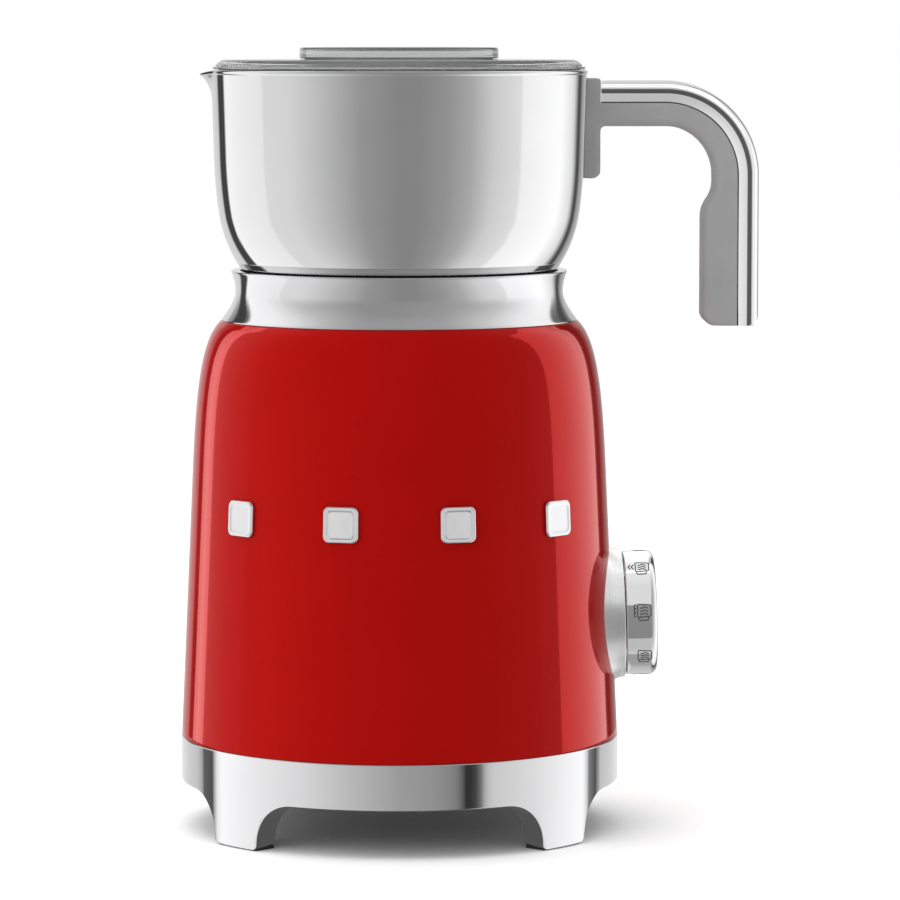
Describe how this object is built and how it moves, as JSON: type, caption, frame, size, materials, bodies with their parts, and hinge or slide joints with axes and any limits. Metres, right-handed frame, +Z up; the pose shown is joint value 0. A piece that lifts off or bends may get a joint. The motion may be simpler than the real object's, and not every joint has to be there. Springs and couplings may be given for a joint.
{
  "type": "electric milk frother",
  "caption": "Retro induction milk frother: a steel jug with a side handle and a clear lid stands in the well of a round glossy base with a dial.",
  "frame": {"origin": "on the base's axis, at the level of the surface it stands on", "axes": "+Z up; +X to the jug's handle and the dial; -X to the spout; -Y to the front with the tiles"},
  "size_m": [0.1891, 0.1451, 0.255],
  "materials": {
    "red_gloss": "high gloss lacquer",
    "polished_aluminium": "polished",
    "chrome_plating": "mirror polished",
    "satin_aluminium": "satin",
    "polished_steel": "polished",
    "steel_fixings": "bright zinc",
    "grey_plastic": "fine matte grain",
    "dark_plastic": "matte",
    "pale_plastic": "matte",
    "clear_plastic": "clear and glossy",
    "light_lens": "translucent",
    "silicone": "satin",
    "black_rubber": "matte",
    "copper": "enamelled wire",
    "bronze": "sintered",
    "ferrite": "fired",
    "magnet": "nickel plated",
    "circuit_board": "solder mask",
    "capacitor_sleeve": "shrink sleeve",
    "heat_sink_metal": "extruded"
  },
  "bodies": {
    "base": {"body_shell": "red_gloss", "collar": "polished_aluminium", "seat_gasket": "black_rubber", "plinth": "chrome_plating", "legs": "chrome_plating", "foot_pads": "black_rubber", "bottom_cover": "dark_plastic", "bottom_screws": "steel_fixings", "cord_gland": "black_rubber", "badge_tiles": "chrome_plating", "jug_seat": "dark_plastic", "seat_screws": "steel_fixings", "chassis": "dark_plastic", "top_deck": "dark_plastic", "deck_screws": "steel_fixings", "coil_former": "pale_plastic", "induction_coil": "copper", "ferrite_bars": "ferrite", "insulating_sheet": "pale_plastic", "sensor_spring": "steel_fixings", "motor_can": "steel_fixings", "motor_magnets": "ferrite", "motor_bearings": "bronze", "motor_bracket": "steel_fixings", "motor_screws": "steel_fixings", "fan_frame": "dark_plastic", "power_board": "circuit_board", "capacitors": "capacitor_sleeve", "heat_sink": "heat_sink_metal", "choke": "copper", "transistors": "dark_plastic", "control_board": "circuit_board", "encoder_body": "dark_plastic", "start_switch": "dark_plastic", "dial_bezel": "satin_aluminium", "button_spring": "steel_fixings"},
    "sensor": {"temperature_sensor": "steel_fixings"},
    "rotor": {"motor_shaft": "steel_fixings", "armature": "copper", "magnet_carrier": "dark_plastic", "drive_magnets": "magnet"},
    "fan": {"fan_impeller": "dark_plastic"},
    "dial": {"dial": "chrome_plating", "light_ring": "light_lens"},
    "button": {"start_button": "satin_aluminium"},
    "jug": {"jug_shell": "polished_steel", "induction_disc": "steel_fixings", "whisk_pin": "polished_steel", "weld_bracket": "steel_fixings", "handle_grip": "grey_plastic", "handle_strap": "polished_steel", "handle_screws": "steel_fixings"},
    "lid": {"lid": "clear_plastic", "lid_seal": "silicone"},
    "cap": {"cap": "clear_plastic", "cap_seal": "silicone"},
    "whisk": {"whisk_disc": "dark_plastic", "whisk_bush": "pale_plastic", "whisk_magnets": "magnet", "whisk_coil": "steel_fixings"}
  },
  "joints": [
    {"name": "jug_lift", "type": "slide", "parent": "base", "child": "jug", "axis": [0, 0, 1], "range_m": [0, 0.15]},
    {"name": "lid_lift", "type": "slide", "parent": "jug", "child": "lid", "axis": [0, 0, 1], "range_m": [0, 0.08]},
    {"name": "cap_lift", "type": "slide", "parent": "lid", "child": "cap", "axis": [0, 0, 1], "range_m": [0, 0.05]},
    {"name": "rotor_spin", "type": "hinge", "parent": "base", "child": "rotor", "pos_m": [0, 0, 0.15], "axis": [0, 0, 1], "continuous": true},
    {"name": "whisk_spin", "type": "hinge", "parent": "jug", "child": "whisk", "pos_m": [0, 0, 0.185], "axis": [0, 0, 1], "continuous": true},
    {"name": "fan_spin", "type": "hinge", "parent": "base", "child": "fan", "pos_m": [0, 0, 0.03], "axis": [0, 0, 1], "continuous": true},
    {"name": "dial_turn", "type": "hinge", "parent": "base", "child": "dial", "pos_m": [0.0738, 0, 0.0696], "axis": [0.9996, 0, 0.0297], "continuous": true},
    {"name": "button_press", "type": "slide", "parent": "base", "child": "button", "axis": [-0.9996, 0, -0.0297], "range_m": [0, 0.0013], "stiffness_N_per_m": 600, "springref_m": -0.0005, "deforming": ["button_spring"]},
    {"name": "sensor_press", "type": "slide", "parent": "base", "child": "sensor", "axis": [0, 0, -1], "range_m": [0, 0.0015], "stiffness_N_per_m": 300, "springref_m": -0.001, "deforming": ["sensor_spring"]}
  ],
  "couplings": [
    {"joint": "whisk_spin", "follows": "rotor_spin", "ratio": 1}
  ]
}
